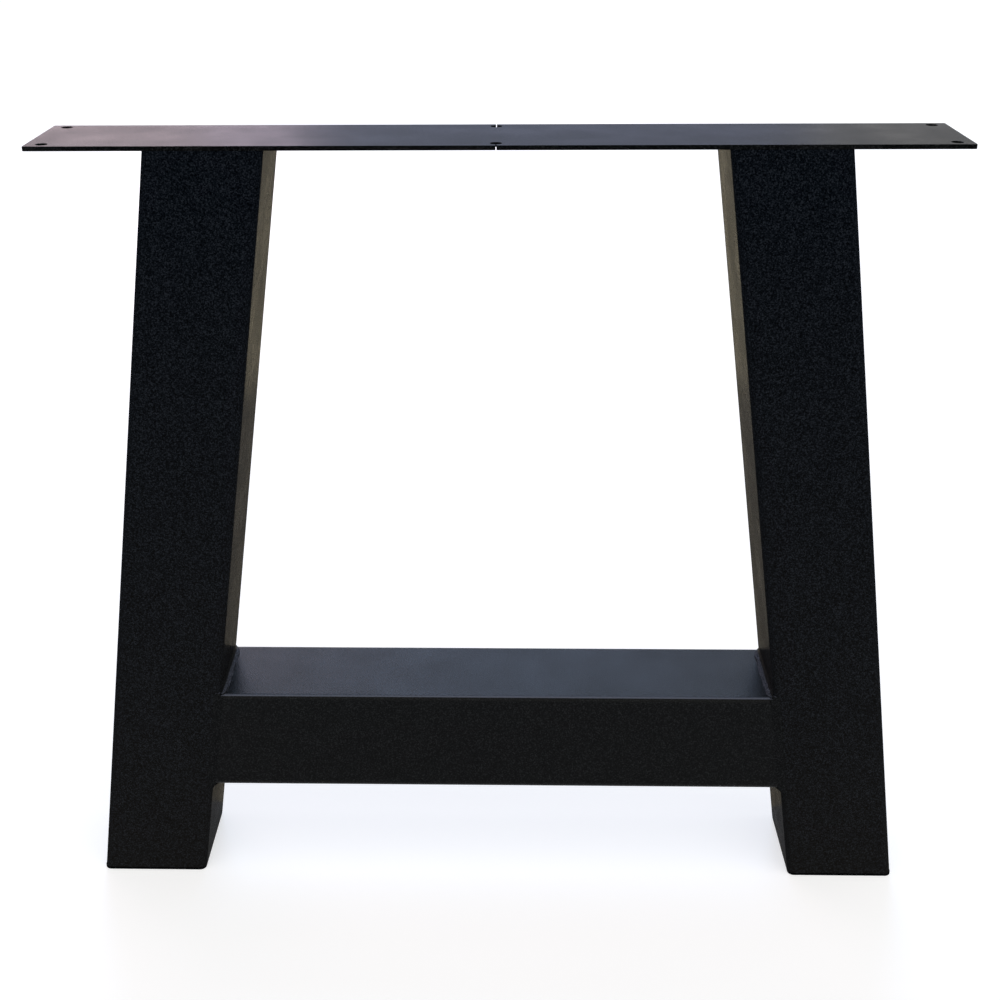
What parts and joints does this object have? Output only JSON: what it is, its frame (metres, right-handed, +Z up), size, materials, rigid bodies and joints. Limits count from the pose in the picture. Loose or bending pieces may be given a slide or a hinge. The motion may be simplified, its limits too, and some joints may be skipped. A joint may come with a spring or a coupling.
{
  "type": "trestle table leg",
  "caption": "Raked A-frame table leg welded from square steel tube, with a flat screw plate on top and a low crossbar, powder coated black.",
  "frame": {"origin": "on the floor, midway between the two feet", "axes": "+Z up to the screw plate, X along the plate, Y across it with the pictured front towards -Y"},
  "size_m": [0.78, 0.1008, 0.72],
  "materials": {
    "tube_coat": "fine-textured satin black powder coat",
    "plate_coat": "fine-textured satin black powder coat",
    "weld_coat": "satin black powder coat over weld beads"
  },
  "bodies": {
    "root": {"top_plate": "plate_coat", "crossbar": "tube_coat", "left_leg": "tube_coat", "left_foot_plate": "tube_coat", "left_foot_weld": "weld_coat", "right_leg": "tube_coat", "right_foot_plate": "tube_coat", "right_foot_weld": "weld_coat", "left_upper_bead": "weld_coat", "left_lower_bead": "weld_coat", "left_front_seam": "weld_coat", "left_back_seam": "weld_coat", "left_outer_plate_bead": "weld_coat", "left_inner_plate_bead": "weld_coat", "right_upper_bead": "weld_coat", "right_lower_bead": "weld_coat", "right_front_seam": "weld_coat", "right_back_seam": "weld_coat", "right_outer_plate_bead": "weld_coat", "right_inner_plate_bead": "weld_coat"}
  },
  "joints": []
}
